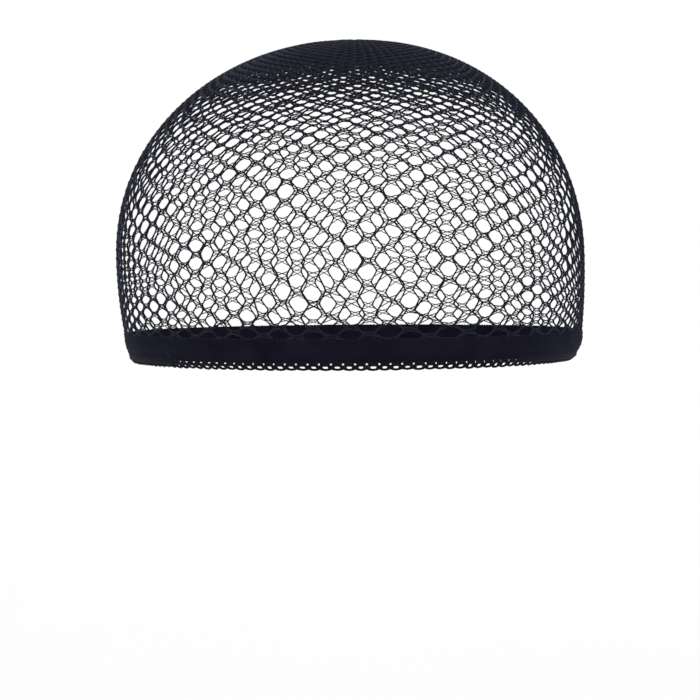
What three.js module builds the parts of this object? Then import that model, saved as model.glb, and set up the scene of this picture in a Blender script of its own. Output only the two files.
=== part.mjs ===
// A fishnet wig cap in the form that it has when it is worn: a netted dome drawn together at the
// crown, a knitted elastic band round its mouth and a row of small loops under the band.
// Units are millimetres. +Z is up, -Y is the brow and +X is the wearer's left. The origin is the
// centre of the mouth, level with the lowest edge.

import * as THREE from 'three';

// Driving sizes of the dome, measured over its outer face
const HALF_WIDTH = 78;
const HALF_DEPTH = 96;
const DOME_RISE = 72.5;
const WIDEST_HEIGHT = 34;
const WIDTH_FULLNESS = 2.05;
const DEPTH_FULLNESS = 2.2;
const MOUTH_NARROWING = 3.4;
const BROW_NARROWING = 0.05;

// Walls, heights and clearances of the pieces
const NET_WALL = 1.2;
const BAND_WALL = 2.0;
const BAND_HEIGHT = 7.2;
const BAND_STAND = 0.6;
const BAND_BULGE = 0.45;
const HEM_WALL = 1.4;
const HEM_HEIGHT = 2.2;
const PIECE_GAP = 0.3;

// Net pattern: flat-topped six-sided gaps in columns, each column half a gap above the last
const NET_COLUMNS = 24;
const NET_ROWS = 5;
const NET_MARGIN = 4;
const GAP_WIDTH_SHARE = 0.62;
const GAP_HEIGHT_SHARE = 0.68;
const CLOSED_CROWN_SHARE = 0.16;
const CROWN_RINGS = 5;

// Gather at the crown
const GATHER_RADIUS = 9;
const GATHER_RISE = 2.2;
const GATHER_DEPTH = 1.6;
const GATHER_PLEATS = 18;
const PLEAT_SHARE = 0.35;

// Segments round the band and the hem
const RING_SEGMENTS = 72;

const BAND_BOTTOM = HEM_HEIGHT + PIECE_GAP;
const BAND_TOP = BAND_BOTTOM + BAND_HEIGHT;
const NET_BOTTOM = BAND_TOP + PIECE_GAP;

// Sections of the band and the hem, cut through the wall: how far up, how far out through the wall
// and how much of the bulge each point has
const BAND_SECTION = [
  { rise: 0, out: 0.15, bulge: 0 },
  { rise: 0, out: 0.8, bulge: 0 },
  { rise: 0.15, out: 1, bulge: 0 },
  { rise: 0.5, out: 1, bulge: 1 },
  { rise: 0.85, out: 1, bulge: 0 },
  { rise: 1, out: 0.8, bulge: 0 },
  { rise: 1, out: 0.15, bulge: 0 },
  { rise: 0.5, out: 0, bulge: 0 },
];
const HEM_SECTION = [
  { rise: 0, out: 0.25, bulge: 0 },
  { rise: 0, out: 0.75, bulge: 0 },
  { rise: 0.5, out: 1, bulge: 0 },
  { rise: 1, out: 0.9, bulge: 0 },
  { rise: 1, out: 0.1, bulge: 0 },
  { rise: 0.5, out: 0, bulge: 0 },
];

// Shares of the gather's radius and rise, from the rim in to the drawn-in centre
const GATHER_PROFILE = [
  { radius: 1, rise: 0 },
  { radius: 0.82, rise: 0.65 },
  { radius: 0.55, rise: 1 },
  { radius: 0.25, rise: 0.8 },
];
const GATHER_CENTRE_RISE = 0.35;

// The shrink of a superellipse at a share of its height
function fullness(share, power) {
  return Math.pow(Math.max(0, 1 - Math.pow(share, power)), 1 / power);
}

// A level is an angle up the dome: negative under the widest line, a right angle at the crown
function levelOfHeight(height) {
  return Math.asin((height - WIDEST_HEIGHT) / DOME_RISE);
}

function outerPoint(turn, level) {
  const share = Math.sin(level);
  const height = WIDEST_HEIGHT + DOME_RISE * share;
  let width = HALF_WIDTH;
  let depth = HALF_DEPTH;
  if (share > 0) {
    width *= fullness(share, WIDTH_FULLNESS);
    depth *= fullness(share, DEPTH_FULLNESS);
  } else {
    const drop = (WIDEST_HEIGHT - height) / WIDEST_HEIGHT;
    width -= MOUTH_NARROWING * drop * drop;
    depth -= MOUTH_NARROWING * drop * drop;
  }
  const forward = Math.cos(turn);
  return new THREE.Vector3(
    width * Math.sin(turn) * (1 - BROW_NARROWING * forward),
    -depth * forward,
    height,
  );
}

// A point of the dome moved in from the outer face, square to it
function domePoint(turn, level, inset) {
  const step = 0.001;
  const point = outerPoint(turn, level);
  const along = outerPoint(turn + step, level).sub(outerPoint(turn - step, level));
  const up = outerPoint(turn, level + step).sub(outerPoint(turn, level - step));
  const outward = along.cross(up).normalize();
  return point.addScaledVector(outward, -inset);
}

// A point beside the dome at a given height, moved out level with the ground
function rimPoint(turn, height, out) {
  const step = 0.001;
  const level = levelOfHeight(height);
  const point = outerPoint(turn, level);
  const along = outerPoint(turn + step, level).sub(outerPoint(turn - step, level));
  const outward = along.cross(new THREE.Vector3(0, 0, 1)).normalize();
  return point.addScaledVector(outward, out);
}

// Collects corners and faces, and gives them back as a geometry
class Body {
  constructor() {
    this.positions = [];
    this.faces = [];
  }

  corner(point) {
    this.positions.push(point.x, point.y, point.z);
    return this.positions.length / 3 - 1;
  }

  quad(a, b, c, d) {
    this.faces.push(a, b, c, a, c, d);
  }

  triangle(a, b, c) {
    this.faces.push(a, b, c);
  }

  geometry() {
    const geometry = new THREE.BufferGeometry();
    geometry.setAttribute('position', new THREE.Float32BufferAttribute(this.positions, 3));
    geometry.setIndex(this.faces);
    geometry.computeVertexNormals();
    return geometry;
  }
}

// A wall with two faces: each corner is made once on the outer face and once on the inner one
class Wall extends Body {
  constructor(thickness) {
    super();
    this.thickness = thickness;
    this.made = new Map();
  }

  pair(turn, level) {
    const key = `${turn.toFixed(6)} ${level.toFixed(6)}`;
    if (!this.made.has(key)) {
      const outer = this.corner(domePoint(turn, level, 0));
      const inner = this.corner(domePoint(turn, level, this.thickness));
      this.made.set(key, { outer, inner });
    }
    return this.made.get(key);
  }

  // A patch of the wall, its corners given anticlockwise as seen from outside
  patch(a, b, c, d) {
    this.quad(a.outer, b.outer, c.outer, d.outer);
    this.quad(d.inner, c.inner, b.inner, a.inner);
  }

  // The cut edge between two corners, with the wall's material on its left as seen from outside
  edge(a, b) {
    this.quad(a.outer, a.inner, b.inner, b.outer);
  }
}

// The angles and levels at which the net's strands meet
function netLevels() {
  const bottom = levelOfHeight(NET_BOTTOM + NET_MARGIN);
  const top = (Math.PI / 2) * (1 - CLOSED_CROWN_SHARE);
  const halfRows = NET_ROWS * 2 + 1;
  return Array.from({ length: halfRows + 1 }, (_, k) => bottom + ((top - bottom) * k) / halfRows);
}

function columnTurn(step) {
  const columns = ((step % NET_COLUMNS) + NET_COLUMNS) % NET_COLUMNS;
  return (columns * 2 * Math.PI) / NET_COLUMNS;
}

// The six corners of a gap's cell, or of the gap itself when its shares are under one
function cellCorners(wall, column, low, middle, high, widthShare, heightShare) {
  const narrow = widthShare / 3;
  const wide = (widthShare * 2) / 3;
  const under = middle - (middle - low) * heightShare;
  const over = middle + (high - middle) * heightShare;
  return [
    wall.pair(columnTurn(column - narrow), under),
    wall.pair(columnTurn(column + narrow), under),
    wall.pair(columnTurn(column + wide), middle),
    wall.pair(columnTurn(column + narrow), over),
    wall.pair(columnTurn(column - narrow), over),
    wall.pair(columnTurn(column - wide), middle),
  ];
}

function addNetCell(wall, column, levels) {
  const cell = cellCorners(wall, column, ...levels, 1, 1);
  const gap = cellCorners(wall, column, ...levels, GAP_WIDTH_SHARE, GAP_HEIGHT_SHARE);
  for (let side = 0; side < 6; side += 1) {
    const next = (side + 1) % 6;
    wall.patch(cell[side], cell[next], gap[next], gap[side]);
    wall.edge(gap[next], gap[side]);
  }
}

// The level at which the cells start or end on the strand line to one side of a column
function zigzag(levels, column, first) {
  const odd = column % 2;
  return levels[first + odd];
}

// A closed strip between a ring and the zigzag edge of the first or last row of cells
function addMargin(wall, ringLevel, levels, first, below) {
  const stops = [];
  for (let column = 0; column < NET_COLUMNS; column += 1) {
    const level = zigzag(levels, column, first);
    stops.push({ turn: columnTurn(column - 1 / 3), level });
    stops.push({ turn: columnTurn(column + 1 / 3), level });
  }
  stops.forEach((stop, index) => {
    const next = stops[(index + 1) % stops.length];
    const ringHere = wall.pair(stop.turn, ringLevel);
    const ringNext = wall.pair(next.turn, ringLevel);
    const cellHere = wall.pair(stop.turn, stop.level);
    const cellNext = wall.pair(next.turn, next.level);
    if (below) {
      wall.patch(ringHere, ringNext, cellNext, cellHere);
    } else {
      wall.patch(cellHere, cellNext, ringNext, ringHere);
    }
  });
  return stops.map((stop) => stop.turn);
}

// The level at which the closed crown meets the gather
function gatherLevel() {
  return Math.asin(fullness((GATHER_RADIUS + PIECE_GAP) / HALF_WIDTH, WIDTH_FULLNESS));
}

// The levels of the rings that close the crown, from the last row of gaps up to the gather
function crownLevels(topRow) {
  return Array.from({ length: CROWN_RINGS + 1 }, (_, ring) => {
    const share = (ring + 1) / (CROWN_RINGS + 1);
    return topRow + (gatherLevel() - topRow) * share;
  });
}

function makeNet() {
  const wall = new Wall(NET_WALL);
  const levels = netLevels();
  for (let column = 0; column < NET_COLUMNS; column += 1) {
    for (let row = 0; row < NET_ROWS; row += 1) {
      const start = row * 2 + (column % 2);
      addNetCell(wall, column, [levels[start], levels[start + 1], levels[start + 2]]);
    }
  }
  const foot = levelOfHeight(NET_BOTTOM);
  const rings = crownLevels(levels[levels.length - 1]);
  const turns = addMargin(wall, foot, levels, 0, true);
  addMargin(wall, rings[0], levels, NET_ROWS * 2, false);
  turns.forEach((turn, index) => {
    const next = turns[(index + 1) % turns.length];
    wall.edge(wall.pair(turn, foot), wall.pair(next, foot));
    for (let ring = 0; ring < CROWN_RINGS; ring += 1) {
      const [low, high] = [rings[ring], rings[ring + 1]];
      wall.patch(wall.pair(turn, low), wall.pair(next, low), wall.pair(next, high), wall.pair(turn, high));
    }
    wall.edge(wall.pair(next, rings[CROWN_RINGS]), wall.pair(turn, rings[CROWN_RINGS]));
  });
  return wall.geometry();
}

// A ring round the mouth: a section of the wall, carried round the dome
function makeRing(section, { bottom, height, inner, wall, bulge }) {
  const body = new Body();
  const rows = Array.from({ length: RING_SEGMENTS }, (_, segment) => {
    const turn = (segment * 2 * Math.PI) / RING_SEGMENTS;
    return section.map((point) => {
      const out = inner + wall * point.out + bulge * point.bulge;
      return body.corner(rimPoint(turn, bottom + height * point.rise, out));
    });
  });
  rows.forEach((row, segment) => {
    const nextRow = rows[(segment + 1) % RING_SEGMENTS];
    row.forEach((corner, index) => {
      const nextIndex = (index + 1) % row.length;
      body.quad(corner, nextRow[index], nextRow[nextIndex], row[nextIndex]);
    });
  });
  return body.geometry();
}

function makeBand() {
  return makeRing(BAND_SECTION, {
    bottom: BAND_BOTTOM,
    height: BAND_HEIGHT,
    inner: BAND_STAND - BAND_WALL,
    wall: BAND_WALL,
    bulge: BAND_BULGE,
  });
}

// The hem hangs under the middle of the net's wall
function makeHem() {
  return makeRing(HEM_SECTION, {
    bottom: 0,
    height: HEM_HEIGHT,
    inner: -(NET_WALL + HEM_WALL) / 2,
    wall: HEM_WALL,
    bulge: 0,
  });
}

// The drawn-in end of the net: a small pleated button that fills the crown's opening
function makeGather() {
  const body = new Body();
  const level = gatherLevel();
  const points = GATHER_PLEATS * 2;
  const turns = Array.from({ length: points }, (_, index) => (index * 2 * Math.PI) / points);
  const rim = turns.map((turn) => domePoint(turn, level, NET_WALL));
  const seat = rim.reduce((low, point) => Math.min(low, point.z), Infinity);
  const spot = (index, radiusShare, height) => {
    const point = rim[index];
    const reach = Math.hypot(point.x, point.y);
    const kept = ((reach - PIECE_GAP) / reach) * radiusShare;
    return new THREE.Vector3(point.x * kept, point.y * kept, height);
  };
  const rings = [turns.map((_, index) => body.corner(spot(index, 1, seat - GATHER_DEPTH)))];
  GATHER_PROFILE.forEach(({ radius, rise }) => {
    rings.push(turns.map((_, index) => {
      const pleat = index % 2 ? 1 - PLEAT_SHARE : 1;
      return body.corner(spot(index, radius, seat + GATHER_RISE * rise * pleat));
    }));
  });
  const foot = body.corner(new THREE.Vector3(0, 0, seat - GATHER_DEPTH));
  const centre = body.corner(new THREE.Vector3(0, 0, seat + GATHER_RISE * GATHER_CENTRE_RISE));
  turns.forEach((_, index) => {
    const next = (index + 1) % points;
    for (let ring = 0; ring + 1 < rings.length; ring += 1) {
      body.quad(rings[ring][index], rings[ring][next], rings[ring + 1][next], rings[ring + 1][index]);
    }
    const last = rings[rings.length - 1];
    body.triangle(last[index], last[next], centre);
    body.triangle(rings[0][next], rings[0][index], foot);
  });
  return body.geometry();
}

function piece(name, geometry, color, roughness) {
  const material = new THREE.MeshStandardMaterial({ color, roughness, metalness: 0 });
  const mesh = new THREE.Mesh(geometry, material);
  mesh.name = name;
  return mesh;
}

const wigCap = new THREE.Group();
wigCap.name = 'wig_cap';
wigCap.add(piece('net_crown', makeNet(), 0x17151c, 0.85));
wigCap.add(piece('crown_gather', makeGather(), 0x14131a, 0.9));
wigCap.add(piece('elastic_band', makeBand(), 0x191b29, 0.8));
wigCap.add(piece('picot_hem', makeHem(), 0x15141c, 0.85));

export default wigCap;
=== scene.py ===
"""A worn fishnet wig cap: threads, gathered crown, elastic band and looped hem over its frame."""

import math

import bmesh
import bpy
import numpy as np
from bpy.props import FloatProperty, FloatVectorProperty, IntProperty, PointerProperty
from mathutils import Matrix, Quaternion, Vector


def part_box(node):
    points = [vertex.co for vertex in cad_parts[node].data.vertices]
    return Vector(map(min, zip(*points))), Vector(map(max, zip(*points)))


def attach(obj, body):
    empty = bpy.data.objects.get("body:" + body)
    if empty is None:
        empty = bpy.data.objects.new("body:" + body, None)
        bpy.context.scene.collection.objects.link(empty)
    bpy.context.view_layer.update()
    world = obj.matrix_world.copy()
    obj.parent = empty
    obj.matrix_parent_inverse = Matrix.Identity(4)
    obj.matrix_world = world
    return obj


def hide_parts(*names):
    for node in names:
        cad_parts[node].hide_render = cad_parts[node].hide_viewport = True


bl_info = {
    "name": "Fishnet wig cap",
    "version": (1, 0, 0),
    "blender": (4, 5, 0),
    "location": "3D View > Sidebar > Wig cap",
    "description": "Builds a worn fishnet wig cap and a plain studio round it",
    "category": "Add Mesh",
}

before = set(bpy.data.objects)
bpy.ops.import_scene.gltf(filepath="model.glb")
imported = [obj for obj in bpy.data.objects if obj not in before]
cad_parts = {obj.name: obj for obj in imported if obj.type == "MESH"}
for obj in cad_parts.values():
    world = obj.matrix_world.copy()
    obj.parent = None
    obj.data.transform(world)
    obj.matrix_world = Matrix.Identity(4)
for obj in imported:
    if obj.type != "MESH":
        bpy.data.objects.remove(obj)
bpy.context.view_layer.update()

BAND_LOW, BAND_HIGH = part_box("elastic_band")
HEM_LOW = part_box("picot_hem")[0]
GATHER_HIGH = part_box("crown_gather")[1]

MM = 0.001
BODY = "root"

# The dome's form, as the frame has it, with the crown settled by half a millimetre
HALF_WIDTH = 78 * MM
HALF_DEPTH = 96 * MM
DOME_RISE = 72.0 * MM
WIDEST_HEIGHT = 34 * MM
WIDTH_FULLNESS = 2.1
DEPTH_FULLNESS = 2.2
MOUTH_NARROWING = 3.4 * MM
BROW_NARROWING = 0.05
NET_WALL = 1.2 * MM

# The worn dome leans a little towards the wearer's left at its mouth and at its crown
LEAN = 1.4 * MM
LEAN_MIDDLE = 50 * MM
LEAN_REACH = 50 * MM

# How steeply that side's share falls off round the mouth
LEFT_FALL = 6

# The small angle that the dome's slopes are measured over, and the samples round one of its edges
SLOPE_STEP = 0.001
EDGE_SAMPLES = 2001


def fullness(share, power):
    """The shrink of a superellipse at a share of its height."""
    return np.maximum(0, 1 - np.maximum(share, 0) ** power) ** (1 / power)


def level_of(height):
    """The angle up the dome at a height."""
    return np.arcsin((height - WIDEST_HEIGHT) / DOME_RISE)


def level_of_width(half_width):
    """The angle up the dome, over its widest place, at which it has a half width."""
    return np.arcsin(fullness(half_width / HALF_WIDTH, WIDTH_FULLNESS))


def outer_face(turn, level):
    """Points of the dome's outer face, for arrays of turns and levels."""
    share = np.sin(level)
    height = WIDEST_HEIGHT + DOME_RISE * share
    drop = np.maximum(0, (WIDEST_HEIGHT - height) / WIDEST_HEIGHT)
    width = HALF_WIDTH * fullness(share, WIDTH_FULLNESS) - MOUTH_NARROWING * drop**2
    depth = HALF_DEPTH * fullness(share, DEPTH_FULLNESS) - MOUTH_NARROWING * drop**2
    forward = np.cos(turn)
    across = width * np.sin(turn) * (1 - BROW_NARROWING * forward)
    lean = LEAN * ((height - LEAN_MIDDLE) / LEAN_REACH) ** 2
    return np.stack([across + lean, -depth * forward, height + 0 * forward], axis=-1)


def unit(vectors):
    """The vectors, each one long."""
    return vectors / np.linalg.norm(vectors, axis=-1, keepdims=True)


def dome(turn, level, out):
    """Points set off from the dome's outer face, square to it."""
    turn, level, out = np.broadcast_arrays(turn, level, out)
    along = outer_face(turn + SLOPE_STEP, level) - outer_face(turn - SLOPE_STEP, level)
    up = outer_face(turn, level + SLOPE_STEP) - outer_face(turn, level - SLOPE_STEP)
    return outer_face(turn, level) + unit(np.cross(along, up)) * out[..., None]


def rim(turn, height, out):
    """Points beside the dome at given heights, set off level with the ground."""
    turn, height, out = np.broadcast_arrays(turn, height, out)
    level = level_of(height)
    along = outer_face(turn + SLOPE_STEP, level) - outer_face(turn - SLOPE_STEP, level)
    outward = unit(np.cross(along, np.array([0.0, 0.0, 1.0])))
    return outer_face(turn, level) + outward * out[..., None]


def left_side(turn):
    """From 0 to 1 at the wearer's left, where the mouth's edge is turned in furthest."""
    return np.clip(np.sin(turn), 0, 1) ** LEFT_FALL


def even_turns(count, height):
    """Turns that stand evenly along the dome's edge at a height."""
    fine = np.linspace(-math.pi, math.pi, EDGE_SAMPLES)
    edge = outer_face(fine, np.full_like(fine, level_of(height)))
    length = np.append(0, np.cumsum(np.linalg.norm(np.diff(edge, axis=0), axis=1)))
    return np.interp(np.linspace(0, length[-1], count, endpoint=False), length, fine)


# Shader sockets as numbers and colours


class Value:
    """A shader socket that adds its Math nodes when it is used in an expression."""

    def __init__(self, tree, socket):
        self.tree = tree
        self.socket = socket

    def math(self, operation, *others):
        """The result of a Math node on this value and others."""
        node = self.tree.nodes.new("ShaderNodeMath")
        node.operation = operation
        for socket, other in zip(node.inputs, (self, *others)):
            plug(self.tree, socket, other)
        return Value(self.tree, node.outputs[0])

    def __add__(self, other):
        return self.math("ADD", other)

    def __radd__(self, other):
        return self.math("ADD", other)

    def __sub__(self, other):
        return self.math("SUBTRACT", other)

    def __rsub__(self, other):
        return Value(self.tree, constant(self.tree, other)).math("SUBTRACT", self)

    def __mul__(self, other):
        return self.math("MULTIPLY", other)

    def __rmul__(self, other):
        return self.math("MULTIPLY", other)


def constant(tree, number):
    """A socket that holds one number."""
    node = tree.nodes.new("ShaderNodeValue")
    node.outputs[0].default_value = number
    return node.outputs[0]


def plug(tree, socket, value):
    """Links a wrapped socket, or sets a plain number, colour or vector."""
    if isinstance(value, Value):
        tree.links.new(value.socket, socket)
    else:
        socket.default_value = value


class Finish:
    """A material, with one method that adds its nodes."""

    def __init__(self, name):
        self.material = bpy.data.materials.new(name)
        self.material.use_nodes = True
        self.tree = self.material.node_tree
        self.shader = self.tree.nodes["Principled BSDF"]

    def node(self, kind, settings=(), inputs=(), output=0):
        """Adds a node: its settings first, then the values or links of its sockets."""
        node = self.tree.nodes.new(kind)
        for key, value in dict(settings).items():
            setattr(node, key, value)
        for key, value in dict(inputs).items():
            plug(self.tree, node.inputs[key], value)
        return Value(self.tree, node.outputs[output])

    def place(self, scale=(1, 1, 1)):
        """Object coordinates, stretched."""
        place = self.node("ShaderNodeTexCoord", output="Object")
        return self.node("ShaderNodeMapping", inputs={"Vector": place, "Scale": scale})

    def noise(self, scale, detail=2.0, where=None):
        """Soft random tone, from 0 to 1."""
        inputs = {"Scale": scale, "Detail": detail, "Vector": where or self.place()}
        return self.node("ShaderNodeTexNoise", inputs=inputs, output="Fac")

    def mix(self, share, low, high):
        """A colour between two, by a share."""
        settings = {"data_type": "RGBA"}
        inputs = {0: share, 6: (*low, 1.0), 7: (*high, 1.0)}
        return self.node("ShaderNodeMix", settings, inputs, output=2)

    def bump(self, height, strength, distance):
        """A normal that follows a relief."""
        inputs = {"Height": height, "Strength": strength, "Distance": distance}
        return self.node("ShaderNodeBump", inputs=inputs)

    def set(self, **values):
        """Sets or links the shader's own sockets, and gives the material."""
        for key, value in values.items():
            plug(self.tree, self.shader.inputs[key.replace("_", " ")], value)
        return self.material


# The blue cast that light leaves on the black dye
SHEEN_TINT = (0.45, 0.58, 1.0, 1.0)

# The thread's filaments lie mostly upright, so their relief is drawn out that way
STRAND_STRETCH = (1.0, 1.0, 0.35)

# The band's own UV map, and the paper's darkest tone as a share of its colour
KNIT_MAP = "knit"
PAPER_SHADE = 0.985

THREAD_SHEEN = 0.087


def thread_finish(name, low, high, roughness, sheen=THREAD_SHEEN):
    """Black nylon thread: slightly uneven in tone, with a soft filament sheen."""
    finish = Finish(name)
    flecks = finish.noise(scale=900.0, detail=3.0)
    drift = finish.noise(scale=60.0)
    share = (flecks * 0.6 + drift * 0.4 - 0.25) * 2.0
    strands = finish.noise(scale=5200.0, where=finish.place(STRAND_STRETCH))
    return finish.set(
        Base_Color=finish.mix(share, low, high),
        Roughness=flecks * 0.2 + roughness,
        Normal=finish.bump(strands, strength=0.5, distance=0.05 * MM),
        Specular_IOR_Level=0.04,
        Sheen_Weight=sheen,
        Sheen_Roughness=0.6,
        Sheen_Tint=SHEEN_TINT,
    )


# The knit's wales round the band, and its courses round the band's section, as phases of its UV map
BAND_WALES = 760
BAND_COURSES = 9
WALE_PHASE = 2 * math.pi * BAND_WALES
COURSE_PHASE = 2 * math.pi * BAND_COURSES


def band_finish(low, high):
    """Blue-black elastic knit: fine upright wales crossed by a few flat courses, also painted as
    sheen and shade.
    """
    finish = Finish("blue-black elastic knit")
    around = finish.node("ShaderNodeUVMap", {"uv_map": KNIT_MAP})
    across = finish.node("ShaderNodeSeparateXYZ", inputs={0: around}, output="X")
    along = finish.node("ShaderNodeSeparateXYZ", inputs={0: around}, output="Y")
    wales = (across * WALE_PHASE).math("SINE")
    courses = (along * COURSE_PHASE).math("SINE")
    stitch = (across * WALE_PHASE * 0.5 + along * COURSE_PHASE * 2.0).math("SINE")
    fuzz = finish.noise(scale=2600.0, detail=4.0)
    blotch = finish.noise(scale=90.0, detail=3.0)
    knit = wales * 0.45 + courses * 0.3 + stitch * 0.25
    # The knit's relief also lightens the colour on its wales and courses and darkens it between
    # them: painted sheen lines and painted shade
    return finish.set(
        Base_Color=finish.mix((blotch + knit * 0.12 - 0.2) * 1.4, low, high),
        Roughness=fuzz * 0.25 + 0.6,
        Normal=finish.bump(knit * 0.5 + fuzz, strength=0.6, distance=0.12 * MM),
        Specular_IOR_Level=0.01,
        Sheen_Weight=0.012,
        Sheen_Roughness=0.5,
        Sheen_Tint=SHEEN_TINT,
    )


def stage_finish(color):
    """Pale paper, very slightly uneven."""
    finish = Finish("pale studio paper")
    tone = finish.noise(scale=3.0)
    low = tuple(channel * PAPER_SHADE for channel in color)
    return finish.set(
        Base_Color=finish.mix(tone, low, tuple(color)),
        Roughness=tone * 0.05 + 0.85,
        Specular_IOR_Level=0.1,
    )


# Settings that a user would change


class NetSettings(bpy.types.PropertyGroup):
    """Sizes and colours of the net."""

    columns: IntProperty(
        name="Columns", description="Upright columns of meshes round the cap", default=94,
    )
    crown_step: FloatProperty(
        name="Crown step", description="Half the height of a mesh at the crown, as an angle",
        default=math.radians(1.05), subtype="ANGLE",
    )
    knot_share: FloatProperty(
        name="Knot share", description="Half the width of a joint, as a share of a column",
        default=0.285,
    )
    main_radius: FloatProperty(
        name="Main thread", description="Radius of the threads that run up the net",
        default=0.265 * MM, unit="LENGTH", precision=5,
    )
    lap_radius: FloatProperty(
        name="Lap thread", description="Radius of the threads that cross at the joints",
        default=0.16 * MM, unit="LENGTH", precision=5,
    )
    slack: FloatProperty(
        name="Slack", default=0.6,
        description="How much bulkier the thread is at the crown, where it isn't stretched",
    )
    low_color: FloatVectorProperty(
        name="Dark tone", description="The thread's darkest colour", subtype="COLOR",
        default=(0.0035, 0.0033, 0.0050),
    )
    high_color: FloatVectorProperty(
        name="Light tone", description="The thread's lightest colour", subtype="COLOR",
        default=(0.0120, 0.0115, 0.0160),
    )


class BandSettings(bpy.types.PropertyGroup):
    """Sizes and colours of the elastic band and its join."""

    wall: FloatProperty(
        name="Wall", description="Thickness of the band",
        default=1.7 * MM, unit="LENGTH", precision=4,
    )
    stand: FloatProperty(
        name="Stand", description="How far the band stands out from the net",
        default=-0.05 * MM, unit="LENGTH", precision=4,
    )
    bulge: FloatProperty(
        name="Bulge", description="Extra roundness half way up the band",
        default=0.25 * MM, unit="LENGTH", precision=4,
    )
    join_turn: FloatProperty(
        name="Join", description="Where the band's ends are sewn together",
        default=math.radians(-55), subtype="ANGLE",
    )
    low_color: FloatVectorProperty(
        name="Dark tone", description="The band's darkest colour", subtype="COLOR",
        default=(0.0040, 0.0037, 0.0085),
    )
    high_color: FloatVectorProperty(
        name="Light tone", description="The band's lightest colour", subtype="COLOR",
        default=(0.0095, 0.0095, 0.0175),
    )


class HemSettings(bpy.types.PropertyGroup):
    """Sizes and colours of the looped hem."""

    loops: IntProperty(name="Loops", description="Loops round the hem", default=144)
    radius: FloatProperty(
        name="Thread", description="Radius of the hem's thread",
        default=0.36 * MM, unit="LENGTH", precision=5,
    )
    # The hem's tones are darker than the net thread's: painted shade under the band's lower edge
    low_color: FloatVectorProperty(
        name="Dark tone", description="The hem's darkest colour", subtype="COLOR",
        default=(0.0032, 0.0029, 0.0055),
    )
    high_color: FloatVectorProperty(
        name="Light tone", description="The hem's lightest colour", subtype="COLOR",
        default=(0.0078, 0.0074, 0.0130),
    )


class GatherSettings(bpy.types.PropertyGroup):
    """Sizes of the gather at the crown."""

    pleats: IntProperty(name="Pleats", description="Folds round the gather", default=47)
    fold: FloatProperty(
        name="Fold", description="Depth of a pleat at its deepest",
        default=0.4 * MM, unit="LENGTH", precision=5,
    )


class StageSettings(bpy.types.PropertyGroup):
    """The camera's place and the paper that the floor is made of."""

    distance: FloatProperty(
        name="Distance", description="From the camera to the cap's middle",
        default=1.0, unit="LENGTH",
    )
    elevation: FloatProperty(
        name="Elevation", description="The camera's height as an angle",
        default=math.radians(-1), subtype="ANGLE",
    )
    floor_height: FloatProperty(
        name="Floor", description="Height of the floor", default=-0.25, unit="LENGTH",
    )
    paper: FloatVectorProperty(
        name="Paper", description="Colour of the floor and the backdrop", subtype="COLOR",
        default=(0.93, 0.93, 0.93),
    )


# Threads

THREAD_TREE = "round threads"
RADIUS_NAME = "thread_radius"
MERGE_REACH = 0.001 * MM


def thread_tree():
    """Geometry nodes that turn chains of edges into round threads."""
    tree = bpy.data.node_groups.new(THREAD_TREE, "GeometryNodeTree")
    sockets = tree.interface
    sockets.new_socket("Geometry", in_out="INPUT", socket_type="NodeSocketGeometry")
    sockets.new_socket("Sides", in_out="INPUT", socket_type="NodeSocketInt")
    sockets.new_socket("Thickness", in_out="INPUT", socket_type="NodeSocketFloat")
    sockets.new_socket("Material", in_out="INPUT", socket_type="NodeSocketMaterial")
    sockets.new_socket("Geometry", in_out="OUTPUT", socket_type="NodeSocketGeometry")
    nodes, link = tree.nodes, tree.links.new
    start = nodes.new("NodeGroupInput")
    end = nodes.new("NodeGroupOutput")
    curve = nodes.new("GeometryNodeMeshToCurve")
    circle = nodes.new("GeometryNodeCurvePrimitiveCircle")
    circle.inputs["Radius"].default_value = 1.0
    radius = nodes.new("GeometryNodeInputNamedAttribute")
    radius.inputs["Name"].default_value = RADIUS_NAME
    scale = nodes.new("ShaderNodeMath")
    scale.operation = "MULTIPLY"
    tube = nodes.new("GeometryNodeCurveToMesh")
    tube.inputs["Fill Caps"].default_value = True
    smooth = nodes.new("GeometryNodeSetShadeSmooth")
    paint = nodes.new("GeometryNodeSetMaterial")
    real = nodes.new("GeometryNodeRealizeInstances")
    link(start.outputs["Geometry"], curve.inputs["Mesh"])
    link(start.outputs["Sides"], circle.inputs["Resolution"])
    link(radius.outputs["Attribute"], scale.inputs[0])
    link(start.outputs["Thickness"], scale.inputs[1])
    link(scale.outputs[0], tube.inputs["Scale"])
    link(curve.outputs["Curve"], tube.inputs["Curve"])
    link(circle.outputs["Curve"], tube.inputs["Profile Curve"])
    link(tube.outputs["Mesh"], smooth.inputs["Geometry"])
    link(smooth.outputs["Geometry"], paint.inputs["Geometry"])
    link(start.outputs["Material"], paint.inputs["Material"])
    link(paint.outputs["Geometry"], real.inputs["Geometry"])
    link(real.outputs["Geometry"], end.inputs["Geometry"])
    return tree


def socket_of(tree, name):
    """The identifier of a node group's named input."""
    found = [s for s in tree.interface.items_tree if s.in_out == "INPUT" and s.name == name]
    return found[0].identifier


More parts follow.
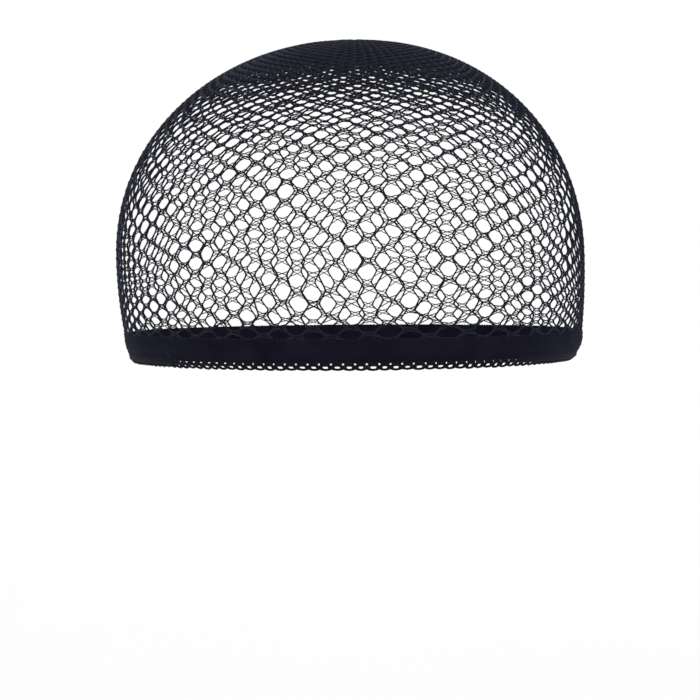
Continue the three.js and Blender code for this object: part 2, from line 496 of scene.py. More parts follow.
def add_threads(name, chains, material, sides, thickness=1.0):
    """One mesh of round threads, from chains of points, radii and whether each is closed."""
    points = np.concatenate([chain[0] for chain in chains])
    radii = np.concatenate([np.broadcast_to(chain[1], len(chain[0])) for chain in chains])
    edges, first = [], 0
    for chain_points, _, closed in chains:
        here = np.arange(first, first + len(chain_points))
        there = np.roll(here, -1)
        pairs = np.stack([here, there], axis=1)
        edges.append(pairs if closed else pairs[:-1])
        first += len(chain_points)
    wire = bpy.data.meshes.new(name)
    wire.from_pydata(points.tolist(), np.concatenate(edges).tolist(), [])
    radius = wire.attributes.new(RADIUS_NAME, "FLOAT", "POINT")
    radius.data.foreach_set("value", radii.astype(np.float32))
    thing = bpy.data.objects.new(name, wire)
    bpy.context.collection.objects.link(thing)
    tree = bpy.data.node_groups.get(THREAD_TREE) or thread_tree()
    modifier = thing.modifiers.new("threads", "NODES")
    modifier.node_group = tree
    modifier[socket_of(tree, "Sides")] = sides
    modifier[socket_of(tree, "Thickness")] = thickness
    modifier[socket_of(tree, "Material")] = material
    graph = bpy.context.evaluated_depsgraph_get()
    mesh = bpy.data.meshes.new_from_object(thing.evaluated_get(graph))
    thing.modifiers.clear()
    thing.data = mesh
    bpy.data.meshes.remove(wire)
    mesh.name = name
    return thing


def add_grid(name, points, material, closed_round, closed_up, uv_name=None):
    """A sheet from an array of points, rows first, with a UV map of its own if one is named."""
    rows, columns = points.shape[:2]
    mesh = bpy.data.meshes.new(name)
    row_count = rows if closed_round else rows - 1
    column_count = columns if closed_up else columns - 1
    row, column = np.meshgrid(np.arange(row_count), np.arange(column_count), indexing="ij")
    next_row, next_column = (row + 1) % rows, (column + 1) % columns
    corners = [(row, column), (next_row, column), (next_row, next_column), (row, next_column)]
    faces = np.stack([r * columns + c for r, c in corners], axis=-1).reshape(-1, 4)
    mesh.from_pydata(points.reshape(-1, 3).tolist(), [], faces.tolist())
    if uv_name:
        steps = [(row, column), (row + 1, column), (row + 1, column + 1), (row, column + 1)]
        across = np.stack([r for r, _ in steps], axis=-1) / rows
        along = np.stack([c for _, c in steps], axis=-1) / columns
        uv = np.stack([across, along], axis=-1).reshape(-1, 2)
        layer = mesh.uv_layers.new(name=uv_name)
        layer.data.foreach_set("uv", uv.astype(np.float32).ravel())
    mesh.materials.append(material)
    mesh.shade_smooth()
    thing = bpy.data.objects.new(name, mesh)
    bpy.context.collection.objects.link(thing)
    return thing


def close_poles(mesh):
    """Merges corners that lie on each other, such as a ring drawn into one point."""
    shape = bmesh.new()
    shape.from_mesh(mesh)
    bmesh.ops.remove_doubles(shape, verts=shape.verts, dist=MERGE_REACH)
    shape.to_mesh(mesh)
    shape.free()


# The net


# The turn, in degrees, of some columns at five levels of the dome. Column 0 is near the brow's
# middle and columns count to the wearer's left. The knit is stretched widest left of the brow.
PLACE_LEVELS = (-16.0, 5.0, 25.0, 41.0, 53.0)
COLUMN_PLACES = {
    -18: (-71.5, -70.9, -72.3, -74.7, -76.7),
    -14: (-57.0, -55.9, -57.3, -60.6, -63.2),
    -10: (-41.6, -39.4, -41.3, -43.3, -44.2),
    -6: (-26.2, -23.1, -24.1, -25.8, -25.9),
    -2: (-9.7, -8.2, -6.9, -6.8, -7.3),
    2: (8.6, 9.0, 11.9, 13.6, 12.7),
    6: (28.7, 28.5, 31.9, 33.8, 32.9),
    10: (47.0, 47.6, 50.9, 53.0, 53.8),
    14: (63.2, 64.0, 65.2, 66.4, 67.4),
    18: (77.5, 77.5, 78.0, 78.5, 78.5),
}
FIRST_COLUMN = min(COLUMN_PLACES)

# The column of the net's own join, where the lap threads cross the joints at a slant
JOIN_COLUMN = -9

# The level, in degrees, of some half rows at some columns. The knit is stretched highest at the
# brow and hangs lower at the sides. The first half rows are hidden in the band.
ROW_COLUMNS = (-18, -12, -7, -2, 2, 7, 12, 18)
ROW_PLACES = {
    0: (-24.8, -24.8, -24.8, -24.8, -24.8, -24.8, -24.8, -24.8),
    4: (-18.6, -21.3, -22.2, -22.2, -22.0, -20.5, -18.6, -17.5),
    7: (-13.4, -14.4, -16.5, -18.5, -16.4, -12.7, -12.0, -12.9),
    10: (-8.2, -6.5, -6.6, -7.4, -6.8, -4.9, -5.4, -8.1),
    13: (-2.7, 1.0, 2.2, 2.4, 2.5, 2.8, 1.2, -3.2),
    17: (5.9, 10.9, 13.5, 14.2, 15.0, 14.0, 10.5, 6.0),
    22: (18.0, 23.3, 27.0, 28.2, 28.4, 26.6, 22.5, 17.2),
    28: (31.4, 36.4, 39.5, 40.6, 40.5, 38.2, 35.9, 30.5),
    34: (43.7, 46.2, 48.2, 48.6, 48.5, 47.0, 44.5, 42.1),
    40: (53.2, 54.4, 54.9, 55.4, 55.5, 54.6, 53.5, 52.5),
}

# How often the rows are evened out with their neighbours
SMOOTHING_PASSES = 3


def column_turns(columns, level):
    """The turn of each column, counted from the first, at an array of levels."""
    places = {column: np.radians(turns) for column, turns in COLUMN_PLACES.items()}
    places[FIRST_COLUMN + columns] = places[FIRST_COLUMN] + 2 * math.pi
    known = sorted(places)
    every = np.arange(FIRST_COLUMN, FIRST_COLUMN + columns)
    heights = np.radians(PLACE_LEVELS)
    turns = [np.interp(every, known, [places[c][k] for c in known]) for k in range(len(heights))]
    by_column = zip(level, np.transpose(turns))
    return np.array([np.interp(own_level, heights, own) for own_level, own in by_column])


def row_levels(columns, top, crown_step):
    """The level of every half row at each column. The back of the net repeats the front."""
    front = np.radians(list(ROW_PLACES.values()))
    places = np.concatenate([front, (front + front[:, ::-1]) / 2], axis=1)
    known = [*ROW_COLUMNS, *(columns // 2 + np.array(ROW_COLUMNS))]
    rows = np.arange(max(ROW_PLACES) + 1)
    at_known = np.array([np.interp(rows, list(ROW_PLACES), place) for place in places.T])
    every = np.arange(FIRST_COLUMN, FIRST_COLUMN + columns)
    level = np.array([np.interp(every, known, row, period=columns) for row in at_known.T])
    crown_rows = round((top - level[-1].mean()) / crown_step)
    share = np.linspace(0, 1, crown_rows + 1)[1:, None]
    level = np.concatenate([level, level[-1] + (top - level[-1]) * share])
    for _ in range(SMOOTHING_PASSES):
        level = (np.roll(level, 1, axis=1) + 2 * level + np.roll(level, -1, axis=1)) / 4
        level[1:-1] = (level[:-2] + 2 * level[1:-1] + level[2:]) / 4
    return level.T


class NetPlan:
    """Where the joints of the net are: a turn and a level for each column and half row."""

    SEED = 7
    # How far a joint wanders from its place, as shares of a column and of half a row
    WANDER = 0.035
    ROW_WANDER = WANDER * 1.5
    # The wandering dies down over this angle, up to the top row
    SETTLED = math.radians(25)
    # The levels between which the thread goes slack
    SLACK_LEVELS = (math.radians(42), math.radians(68))
    # The half width of the top row, as a share of the gather's
    TOP_SHARE = 0.78
    # How far the net dives under the gather, over which angle, and how far into the band
    DIVE = 0.7 * MM
    DIVE_REACH = math.radians(7)
    BAND_DIVE = 0.5 * MM

    def __init__(self, net):
        self.columns = net.columns
        self.top = float(level_of_width(GATHER_HIGH[0] * self.TOP_SHARE))
        level = row_levels(self.columns, self.top, net.crown_step)
        turn = column_turns(self.columns, level)
        self.rows = level.shape[1]
        after = np.roll(turn, -1, axis=0)
        after[-1] += 2 * math.pi
        before = np.roll(turn, 1, axis=0)
        before[0] -= 2 * math.pi
        self.pitch = (after - before) / 2
        self.step = np.gradient(level, axis=1)
        rng = np.random.default_rng(self.SEED)
        settle = np.clip((self.top - level) / self.SETTLED, 0, 1)
        self.turn = turn + rng.normal(0, self.WANDER, turn.shape) * self.pitch * settle
        self.level = level + rng.normal(0, self.ROW_WANDER, turn.shape) * self.step * settle
        low, high = self.SLACK_LEVELS
        self.bulk = 1 + net.slack * np.clip((level.mean(axis=0) - low) / (high - low), 0, 1)

    def wall_middle(self, level):
        """How far in the middle of the net's wall is, at levels up the dome."""
        dive = np.clip((level - self.top) / self.DIVE_REACH + 1, 0, 1)
        band_low, band_high = level_of(BAND_LOW[2]), level_of(BAND_HIGH[2])
        under = np.clip((band_high - level) / (band_high - band_low), 0, 1)
        return -NET_WALL / 2 - self.DIVE * dive**2 - self.BAND_DIVE * under

    def joints(self, line):
        """The columns whose joints a line meets going up, and the side it meets each on."""
        row = np.arange(self.rows)
        own = (line + row) % 2 == 1
        column = np.where(own, line, (line + 1) % self.columns)
        lap = np.where(~own & (line + 1 >= self.columns), 2 * math.pi, 0.0)
        return row, column, lap, np.where(own, 1.0, -1.0)


def lattice(plan, net, line):
    """The knot of one line at each half row, and the knot across its joint."""
    row, column, lap, side = plan.joints(line)
    centre = plan.turn[column, row] + lap
    reach = net.knot_share * plan.pitch[column, row] * side
    return column, side, centre, plan.level[column, row], centre + reach, centre - reach


# Where the lap thread parts from the line, as shares of the way to the knots below and above
PART_BELOW = 0.52
PART_ABOVE = 0.33

# Where it crosses a joint and loops round the knot there, as shares of half a row
LOW_CROSSING = 0.187
LOOP_HALF = 0.03
HIGH_CROSSING = 0.135

# How far its loop stands out, as a share of how far its crossings do
LOOP_STAND = 0.3

# A main thread's stations from one knot to the next: the share across, the share up and the weight
MAIN_STATIONS = ((0.0, 0.0, 1.35), (0.13, 0.17, 1.05), (0.87, 0.83, 1.05))


def main_thread(plan, net, line):
    """A thread that zigzags up the net, almost straight from knot to knot."""
    _, _, _, level, knot, _ = lattice(plan, net, line)
    turns, levels, radii = [], [], []
    for across, along, weight in MAIN_STATIONS:
        turns.append(knot[:-1] + (knot[1:] - knot[:-1]) * across)
        levels.append(level[:-1] + (level[1:] - level[:-1]) * along)
        radii.append(net.main_radius * weight * plan.bulk[:-1])
    turn = np.append(np.stack(turns, axis=1).ravel(), knot[-1])
    rise = np.append(np.stack(levels, axis=1).ravel(), level[-1])
    radius = np.append(np.stack(radii, axis=1).ravel(), net.main_radius)
    return dome(turn, rise, plan.wall_middle(rise)), radius, False


def lap_thread(plan, net, line):
    """A thread that runs beside the main one and loops round the knot across each joint."""
    column, side, centre, level, knot, far = lattice(plan, net, line)
    step = plan.step[column, np.arange(plan.rows)]
    joined = column == (JOIN_COLUMN - FIRST_COLUMN) % plan.columns
    inner = slice(1, -1)
    below = knot[inner] + (knot[:-2] - knot[inner]) * PART_BELOW
    above = knot[inner] + (knot[2:] - knot[inner]) * PART_ABOVE
    level_below = level[inner] + (level[:-2] - level[inner]) * PART_BELOW
    level_above = level[inner] + (level[2:] - level[inner]) * PART_ABOVE
    here, middle, across, lift = level[inner], centre[inner], far[inner], step[inner]
    low_turn = np.where(joined[inner] & (side[inner] > 0), knot[inner], middle)
    high_turn = np.where(joined[inner] & (side[inner] < 0), knot[inner], middle)
    turns = [below, low_turn, across, across, high_turn, above]
    levels = [
        level_below,
        here - LOW_CROSSING * lift,
        here - LOOP_HALF * lift,
        here + LOOP_HALF * lift,
        here + HIGH_CROSSING * lift,
        level_above,
    ]
    radius = net.lap_radius * plan.bulk[inner]
    beside = net.main_radius * plan.bulk[inner]
    over = side[inner] * radius
    outs = [beside, over, over * LOOP_STAND, over * LOOP_STAND, over, beside]
    turn = np.stack(turns, axis=1).ravel()
    rise = np.stack(levels, axis=1).ravel()
    out = np.stack(outs, axis=1).ravel() + plan.wall_middle(rise)
    return dome(turn, rise, out), np.repeat(radius, len(turns)), False


# Pieces of the net, so that each mesh stays a moderate size
NET_PANELS = ("right_front", "left_front", "left_back", "right_back")


class WIGCAP_OT_net(bpy.types.Operator):
    """Knit the net's threads, in four panels"""

    bl_idname = "wigcap.net"
    bl_label = "Net"

    def execute(self, context):
        net = context.scene.wigcap_net
        tones = (net.low_color, net.high_color)
        material = thread_finish("black nylon thread", *tones, roughness=0.55)
        plan = NetPlan(net)
        edges = np.linspace(0, plan.columns, len(NET_PANELS) + 1).astype(int)
        for name, low, high in zip(NET_PANELS, edges[:-1], edges[1:]):
            chains = []
            for line in range(low, high):
                chains.append(main_thread(plan, net, line))
                chains.append(lap_thread(plan, net, line))
            panel = add_threads(f"net_{name}", chains, material, sides=5)
            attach(panel, BODY)
            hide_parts("net_crown")
        return {"FINISHED"}


# The gather


class WIGCAP_OT_gather(bpy.types.Operator):
    """Draw the crown's net into a pleated gather"""

    bl_idname = "wigcap.gather"
    bl_label = "Gather"

    RINGS = 26
    POINTS_PER_PLEAT = 8
    WALL = 0.7 * MM
    OVERLAP = 0.5 * MM
    # The gather's rise over the dome, in millimetres, at shares of its width
    PROFILE_SHARES = (0.0, 0.12, 0.35, 0.8, 1.0)
    PROFILE_RISES = (-0.5, -0.45, -0.35, -0.3, -0.6)
    # How deep each pleat is, drawn between these shares of the deepest
    SEED = 3
    PLEAT_DEPTHS = (0.5, 1.0)
    # The pleats grow out of the middle and fade at the edge, where a little of them is left
    MIDDLE_FADE = 1.8
    EDGE_FADE = 5
    EDGE_DEPTH = 0.3
    # How the pleats crowd and spread: the size and the number of each wave round the gather
    TWISTS = ((0.8, 5), (0.5, 2))

    def depths(self, turns, pleats):
        """How deep the pleats are at turns round the gather."""
        places = np.linspace(0, 2 * math.pi, pleats, endpoint=False)
        drawn = np.random.default_rng(self.SEED).uniform(*self.PLEAT_DEPTHS, pleats)
        return np.interp(turns, places, drawn, period=2 * math.pi)

    def execute(self, context):
        gather = context.scene.wigcap_gather
        net = context.scene.wigcap_net
        tones = (net.low_color, net.high_color)
        material = thread_finish("gathered black net", *tones, roughness=0.6)
        turns = np.linspace(0, 2 * math.pi, gather.pleats * self.POINTS_PER_PLEAT, endpoint=False)
        share = np.linspace(1.0, 0.0, self.RINGS)
        rise = np.interp(share, self.PROFILE_SHARES, self.PROFILE_RISES) * MM
        grown = np.clip(share * self.MIDDLE_FADE, 0, 1)
        fade = grown * np.clip((1 - share) * self.EDGE_FADE + self.EDGE_DEPTH, 0, 1)
        angle, ring = np.meshgrid(turns, share, indexing="ij")
        phase = angle * gather.pleats
        for size, count in self.TWISTS:
            phase = phase + size * np.sin(angle * count)
        depth = gather.fold * fade * np.cos(phase) * self.depths(turns, gather.pleats)[:, None]
        points = outer_face(angle, level_of_width(ring * (GATHER_HIGH[0] + self.OVERLAP)))
        points[..., 2] += rise + depth
        thing = add_grid("gathered_crown", points, material, closed_round=True, closed_up=False)
        close_poles(thing.data)
        solid = thing.modifiers.new("wall", "SOLIDIFY")
        solid.thickness = self.WALL
        solid.offset = -1
        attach(thing, BODY)
        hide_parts("crown_gather")
        return {"FINISHED"}


# The band


def band_section(count, squareness):
    """Points round the band's section, as shares of its height and wall, starting low inside."""
    angle = np.linspace(0, 2 * math.pi, count, endpoint=False) - math.pi * 0.75
    across = np.sign(np.cos(angle)) * np.abs(np.cos(angle)) ** squareness
    along = np.sign(np.sin(angle)) * np.abs(np.sin(angle)) ** squareness
    return (along + 1) / 2, (across + 1) / 2


class BandShape:
    """The outer face of the band: rounded, ribbed, puckered and lapped at its join."""

    SEED = 11
    # The puckers' waves round the band, their depth, and the share of it at the lower edge
    PUCKERS = (9, 14, 23, 37, 61)
    PUCKER_DEPTH = 0.03 * MM
    LOW_PUCKER = 0.4
    COURSES = 7
    COURSE_DEPTH = 0.035 * MM
    # The two stitched grooves, as shares of the band's height
    GROOVES = (0.22, 0.77)
    GROOVE_DEPTH = 0.14 * MM
    GROOVE_WIDTH = 0.028
    TUCK = 0.2 * MM
    LEFT_TUCK = 0.85 * MM
    LAP_HALF = math.radians(3.2)
    LAP_STEP = 0.18 * MM
    LAP_EDGE = math.radians(0.25)

    def __init__(self, band):
        self.band = band
        rng = np.random.default_rng(self.SEED)
        self.waves = [
            (count, rng.normal(0, 1), rng.uniform(0, 2 * math.pi)) for count in self.PUCKERS
        ]

    def pucker(self, turn):
        """The sum of the puckers' waves at a turn."""
        return sum(size * np.sin(turn * count + start) for count, size, start in self.waves)

    def lap(self, turn):
        """A raised stretch where the band's ends lie over each other."""
        away = (turn - self.band.join_turn + math.pi) % (2 * math.pi) - math.pi
        rising = 1 / (1 + np.exp(-(away + self.LAP_HALF) / self.LAP_EDGE))
        falling = 1 / (1 + np.exp((away - self.LAP_HALF) / self.LAP_EDGE))
        return self.LAP_STEP * rising * falling

    def outer(self, turn, rise):
        """How far the outer face stands off the net at a share of the band's height."""
        relief = self.COURSE_DEPTH * np.cos(2 * math.pi * rise * self.COURSES)
        for place in self.GROOVES:
            away = (rise - place) / self.GROOVE_WIDTH
            relief = relief - self.GROOVE_DEPTH * np.exp(-(away**2))
        grown = self.LOW_PUCKER + (1 - self.LOW_PUCKER) * rise
        relief = relief + self.PUCKER_DEPTH * self.pucker(turn) * grown
        body = self.band.stand + self.band.bulge * np.sin(math.pi * rise)
        return body + relief + self.lap(turn) - self.tuck(turn, rise)

    def tuck(self, turn, rise):
        """How far the band turns in under its lower edge."""
        under = 1 - rise
        return self.TUCK * under**4 + self.LEFT_TUCK * left_side(turn) * under**3


class WIGCAP_OT_band(bpy.types.Operator):
    """Make the elastic band, with its courses, puckers, lapped join and the stitches on it"""

    bl_idname = "wigcap.band"
    bl_label = "Elastic band"

    SEGMENTS = 1100
    SECTION = 64
    SQUARENESS = 0.4
    # The top edge waves with the puckers, from this share of the band's height up
    EDGE_WAVE = 0.045 * MM
    EDGE_START = 0.8
    EDGE_GAIN = 5
    # The whipping: its turns round the edge, the points in each, and how uneven they are
    WHIP_SEED = 21
    WHIPS = 420
    WHIP_POINTS = 6
    WHIP_SPREAD = 0.12
    WHIP_RADIUS = 0.11 * MM
    # How far its middle is under the top edge, how high it reaches and how far it sinks in
    WHIP_DROP = 0.25 * MM
    WHIP_REACH = 0.3 * MM
    WHIP_SINK = 0.1 * MM
    # The stitches of the join: their number, their ends as shares of the band's height, their
    # place as a share of the lap, half their width, and how each goes in and comes out
    TACKS = 9
    TACK_ENDS = (0.16, 0.84)
    TACK_PLACE = 0.8
    TACK_HALF = math.radians(0.55)
    TACK_OUTS = (-0.1 * MM, 0.07 * MM)

    def whip(self, band):
        """A thread whipped over the band's top edge, which holds the net in it."""
        count = self.WHIPS * self.WHIP_POINTS
        turns = even_turns(count, BAND_HIGH[2])
        phase = np.arange(count) * 2 * math.pi / self.WHIP_POINTS
        rng = np.random.default_rng(self.WHIP_SEED)
        size = 1 + np.repeat(rng.normal(0, self.WHIP_SPREAD, self.WHIPS), self.WHIP_POINTS)
        height = BAND_HIGH[2] - self.WHIP_DROP + self.WHIP_REACH * np.cos(phase) * size
        middle = band.stand - band.wall / 2
        out = middle + (band.wall / 2 - self.WHIP_SINK) * np.sin(phase) * size
        return rim(turns, height, out), self.WHIP_RADIUS, True

    def tacks(self, shape, band):
        """A zigzag of stitches down the band's join."""
        rise = np.linspace(*self.TACK_ENDS, self.TACKS)
        side = np.where(np.arange(self.TACKS) % 2, 1.0, -1.0)
        turn = band.join_turn + shape.LAP_HALF * self.TACK_PLACE + side * self.TACK_HALF
        rise, turn = np.repeat(rise, 2), np.repeat(turn, 2)
        height = BAND_LOW[2] + (BAND_HIGH[2] - BAND_LOW[2]) * rise
        out = shape.outer(turn, rise) + np.tile(self.TACK_OUTS, self.TACKS)
        return rim(turn, height, out), self.WHIP_RADIUS, False

    def execute(self, context):
        band = context.scene.wigcap_band
        net = context.scene.wigcap_net
        material = band_finish(band.low_color, band.high_color)
        tones = (net.low_color, net.high_color)
        sewing = thread_finish("black sewing thread", *tones, roughness=0.6)
        shape = BandShape(band)
        turns = even_turns(self.SEGMENTS, BAND_LOW[2])
        up, through = band_section(self.SECTION, self.SQUARENESS)
        turn, rise = np.meshgrid(turns, up, indexing="ij")
        wall = np.broadcast_to(through, turn.shape)
        inner = band.stand - band.wall - shape.tuck(turn, rise)
        out = inner + (shape.outer(turn, rise) - inner) * wall
        near_edge = np.clip((rise - self.EDGE_START) * self.EDGE_GAIN, 0, 1)
        edge = self.EDGE_WAVE * shape.pucker(turn) * near_edge
        height = BAND_LOW[2] + (BAND_HIGH[2] - BAND_LOW[2]) * rise + edge
        points = rim(turn, height, out)
        knit = add_grid("elastic_headband", points, material, True, True, uv_name=KNIT_MAP)
        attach(knit, BODY)
        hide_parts("elastic_band")
        chains = [self.whip(band), self.tacks(shape, band)]
        stitches = add_threads("band_stitches", chains, sewing, sides=5)
        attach(stitches, BODY)
        return {"FINISHED"}


# The hem


class WIGCAP_OT_hem(bpy.types.Operator):
    """Loop the hem's threads under the band"""

    bl_idname = "wigcap.hem"
    bl_label = "Looped hem"

    SEED = 5
    # How far the threads stand in from the net, and how much further in their feet are
    INSET = -0.42 * MM
    FOOT_INSET = -1.3 * MM
    LEFT_INSET = -0.95 * MM
    LEFT_FOOT_INSET = -0.85 * MM
    # How uneven the posts' places are, as a share of a loop, and how the loops sag
    POST_SPREAD = 0.04
    SAG = 0.05 * MM
    # The notch between two loops, and the share of it that is left at a loop's shoulders
    SCALLOP = 0.42 * MM
    SHOULDER = 0.35
    # The radius of the upper threads, as a share of the hem's
    THIN = 0.78
    # How much the web thickens and the notch deepens where the loops' ovals are shut
    SHUT_WEB = 0.55
    SHUT_NOTCH = 0.5
    # The web over the loops: its height at their middles, and how far it hangs towards the posts
    WEB_HEIGHT = 1.66 * MM
    WEB_SAG = 0.05 * MM
    POST_WEB_SAG = 0.1 * MM
    FILL_HEIGHT = 2.08 * MM
    RAIL_HEIGHT = 2.6 * MM
    # A leg's stations: how far it leans from its post, as a share of a loop, and how high it is
    LEG = (
        (0.25, 0.68 * MM), (0.205, 0.85 * MM), (0.18, 1.08 * MM),
        (0.205, 1.35 * MM), (0.26, 1.6 * MM),
    )
    LEAN_SPREAD = 0.012
    DOT_SHARE = 0.082
    WIDE_DOT_SHARE = 0.2
    # Where the loops' ovals and then the dots over the posts close towards the sides of the cap
    OVALS = (math.radians(35), math.radians(43), math.radians(4.7))
    DOTS = (math.radians(46), math.radians(52), math.radians(-3.7))

    def closing(self, post, reach):
        """From 0 where a hole is open, at the brow and the back, to 1 where it is shut."""
        start, end, shift = reach
        side = np.arcsin(np.abs(np.sin(post - shift)))
        return np.clip((side - start) / (end - start), 0, 1)

    def execute(self, context):
        hem = context.scene.wigcap_hem
        # The hem thread's darker tones are painted shade under the band
        tones = (hem.low_color, hem.high_color)
        material = thread_finish("black hem thread with painted shade", *tones, roughness=0.6, sheen=0.02)
        rng = np.random.default_rng(self.SEED)
        shift = rng.normal(0, self.POST_SPREAD, hem.loops) * 2 * math.pi / hem.loops
        post = even_turns(hem.loops, HEM_LOW[2]) + shift
        after = np.append(post[1:], post[0] + 2 * math.pi)
        sag = rng.normal(0, self.SAG, hem.loops)
        spread = rng.normal(0, self.LEAN_SPREAD, hem.loops)
        shut = self.closing(post, self.OVALS)
        dot = self.DOT_SHARE + (self.WIDE_DOT_SHARE - self.DOT_SHARE) * shut
        dot = dot * (1 - self.closing(post, self.DOTS))
        foot = HEM_LOW[2] + hem.radius

        def place(share, height):
            """Points at a share of the way from each post to the next, further in near the foot."""
            turn = post + (after - post) * share
            height = np.broadcast_to(height, turn.shape)
            left = left_side(turn)
            fold = self.FOOT_INSET + self.LEFT_FOOT_INSET * left
            inset = self.INSET + self.LEFT_INSET * left
            return rim(turn, height, inset + fold * (1 - height / self.RAIL_HEIGHT) ** 2)

        def ring(stations, radius):
            """A closed thread through a few stations in each loop."""
            points = np.stack([place(*station) for station in stations], axis=1)
            radii = np.broadcast_to(np.atleast_1d(radius)[:, None], points.shape[:2])
            return points.reshape(-1, 3), radii.ravel(), True

        def strands(stations, radius):
            """A short thread through a few stations in each loop."""
            points = np.stack([place(*station) for station in stations], axis=1)
            return [(chain, radius, False) for chain in points]

        notch = self.SCALLOP * (1 + self.SHUT_NOTCH * shut)
        shoulder = foot + notch * self.SHOULDER + sag
        scallop = [(0.0, foot + notch), (0.2, shoulder), (0.5, foot + sag), (0.8, shoulder)]
        hang = self.WEB_HEIGHT - self.WEB_SAG
        at_post = self.WEB_HEIGHT - self.POST_WEB_SAG
        web = [(0.0, at_post), (0.25, hang), (0.5, self.WEB_HEIGHT), (0.75, hang)]
        rail = [(0.0, self.RAIL_HEIGHT), (0.5, self.RAIL_HEIGHT)]
        fill = [(share, self.FILL_HEIGHT) for share in (dot, 0.5, 1 - dot)]
        chains = [
            ring(scallop, hem.radius),
            ring(web, hem.radius * (self.THIN + self.SHUT_WEB * shut)),
            ring(rail, hem.radius * self.THIN),
        ]
        for side in (-1, 0, 1):
            legs = [(side * (lean + spread), height) for lean, height in self.LEG]
            chains += strands(legs, hem.radius)
        chains += strands(fill, hem.radius * self.THIN)
        thing = add_threads("looped_hem", chains, material, sides=8)
        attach(thing, BODY)
        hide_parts("picot_hem")
        return {"FINISHED"}


# The stage


def add_light(name, place, target, size, power):
    """A square softbox that faces a target."""
    light = bpy.data.lights.new(name, "AREA")
    light.energy = power
    light.size = size
    thing = bpy.data.objects.new(name, light)
    thing.location = place
    thing.rotation_euler = (Vector(target) - Vector(place)).to_track_quat("-Z", "Y").to_euler()
    bpy.context.collection.objects.link(thing)


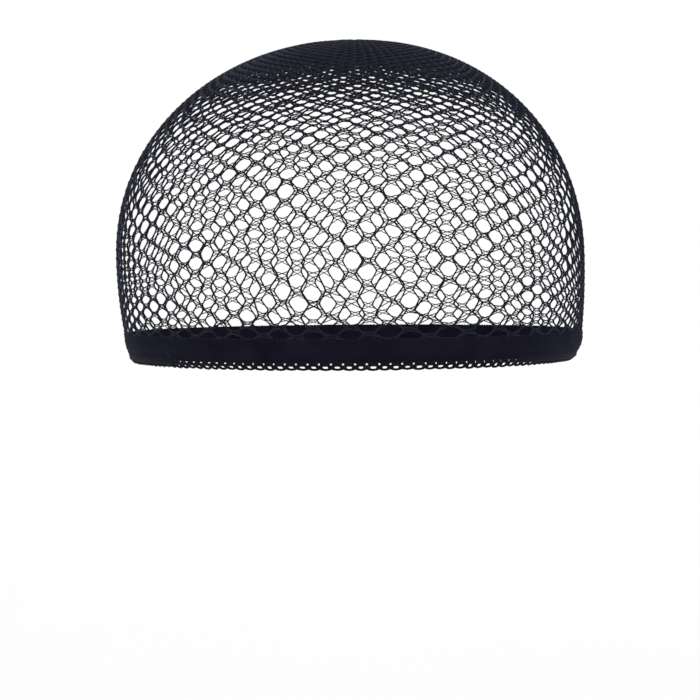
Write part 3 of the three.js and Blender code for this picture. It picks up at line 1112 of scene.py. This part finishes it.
class WIGCAP_OT_stage(bpy.types.Operator):
    """Set up the paper, the soft light and the camera"""

    bl_idname = "wigcap.stage"
    bl_label = "Studio"

    PAPER_BACK = 1.4
    PAPER_FRONT = -3.0
    PAPER_WIDTH = 5.0
    PAPER_HEIGHT = 3.0
    PAPER_BEND = 0.8
    BEND_STEPS = 24
    # The picture: its side and scale, and where the cap's middle stands in it
    SENSOR = 36.0
    IMAGE_SIDE = 700
    PIXELS_PER_METRE = 3010.0
    CAP_MIDDLE_HEIGHT = 53 * MM
    MIDDLE_X_PIXEL = 349.5
    MIDDLE_Y_PIXEL = 200.8
    ROLL = math.radians(0.45)
    # Each softbox's name, place, size and power
    LIGHTS = (
        ("front softbox", (-0.9, -1.6, 1.3), 1.6, 22),
        ("right softbox", (1.5, -0.9, 0.9), 1.4, 12),
    )
    LIGHT_TARGET = (0, 0, 0.05)
    WORLD_STRENGTH = 0.75

    def paper(self, stage):
        """A floor that bends up into the backdrop."""
        bend = np.linspace(0, math.pi / 2, self.BEND_STEPS)
        back, low = self.PAPER_BACK, stage.floor_height
        start = back - self.PAPER_BEND
        across = [self.PAPER_FRONT, *(start + self.PAPER_BEND * np.sin(bend)), back]
        height = [low, *(low + self.PAPER_BEND * (1 - np.cos(bend))), low + self.PAPER_HEIGHT]
        sides = np.array([-self.PAPER_WIDTH / 2, self.PAPER_WIDTH / 2])
        points = np.array([[(side, y, z) for y, z in zip(across, height)] for side in sides])
        thing = add_grid("paper", points, stage_finish(stage.paper), False, False)

    def camera(self, stage):
        """A camera in front of the cap, which stands at its place in the picture."""
        data = bpy.data.cameras.new("camera")
        thing = bpy.data.objects.new("camera", data)
        bpy.context.collection.objects.link(thing)
        data.sensor_width = self.SENSOR
        width = self.IMAGE_SIDE / self.PIXELS_PER_METRE
        data.lens = self.SENSOR * stage.distance / width
        middle = Vector((0, 0, self.CAP_MIDDLE_HEIGHT))
        back = Vector((0, -math.cos(stage.elevation), math.sin(stage.elevation)))
        thing.location = middle + back * stage.distance
        roll = Quaternion((0, 0, 1), -self.ROLL)
        sight = (-back).to_track_quat("-Z", "Y") @ roll
        centre = self.IMAGE_SIDE / 2
        across = (centre - self.MIDDLE_X_PIXEL) / self.PIXELS_PER_METRE
        down = (centre - self.MIDDLE_Y_PIXEL) / self.PIXELS_PER_METRE
        aim = middle + sight @ Vector((across, -down, 0))
        turned = (aim - thing.location).to_track_quat("-Z", "Y")
        thing.rotation_euler = (turned @ roll).to_euler()
        bpy.context.scene.camera = thing

    def execute(self, context):
        stage = context.scene.wigcap_stage
        self.paper(stage)
        self.camera(stage)
        world = bpy.data.worlds.new("soft white")
        world.use_nodes = True
        background = world.node_tree.nodes["Background"]
        background.inputs["Color"].default_value = (1, 1, 1, 1)
        background.inputs["Strength"].default_value = self.WORLD_STRENGTH
        context.scene.world = world
        for name, place, size, power in self.LIGHTS:
            add_light(name, place, self.LIGHT_TARGET, size, power)
        context.scene.view_settings.view_transform = "Standard"
        return {"FINISHED"}


class WIGCAP_PT_panel(bpy.types.Panel):
    """Lists the pieces of the wig cap"""

    bl_idname = "WIGCAP_PT_panel"
    bl_label = "Wig cap"
    bl_space_type = "VIEW_3D"
    bl_region_type = "UI"
    bl_category = "Wig cap"

    def draw(self, context):
        for operator in OPERATORS:
            self.layout.operator(operator.bl_idname)


SETTINGS = {
    "wigcap_net": NetSettings,
    "wigcap_band": BandSettings,
    "wigcap_hem": HemSettings,
    "wigcap_gather": GatherSettings,
    "wigcap_stage": StageSettings,
}
OPERATORS = (WIGCAP_OT_stage, WIGCAP_OT_net, WIGCAP_OT_gather, WIGCAP_OT_band, WIGCAP_OT_hem)


def register():
    for name, group in SETTINGS.items():
        bpy.utils.register_class(group)
        setattr(bpy.types.Scene, name, PointerProperty(type=group))
    for operator in OPERATORS:
        bpy.utils.register_class(operator)
    bpy.utils.register_class(WIGCAP_PT_panel)


def unregister():
    bpy.utils.unregister_class(WIGCAP_PT_panel)
    for operator in reversed(OPERATORS):
        bpy.utils.unregister_class(operator)
    for name, group in reversed(SETTINGS.items()):
        delattr(bpy.types.Scene, name)
        bpy.utils.unregister_class(group)


def main():
    register()
    bpy.ops.wigcap.stage()
    bpy.ops.wigcap.net()
    bpy.ops.wigcap.gather()
    bpy.ops.wigcap.band()
    bpy.ops.wigcap.hem()


if __name__ == "__main__":
    main()
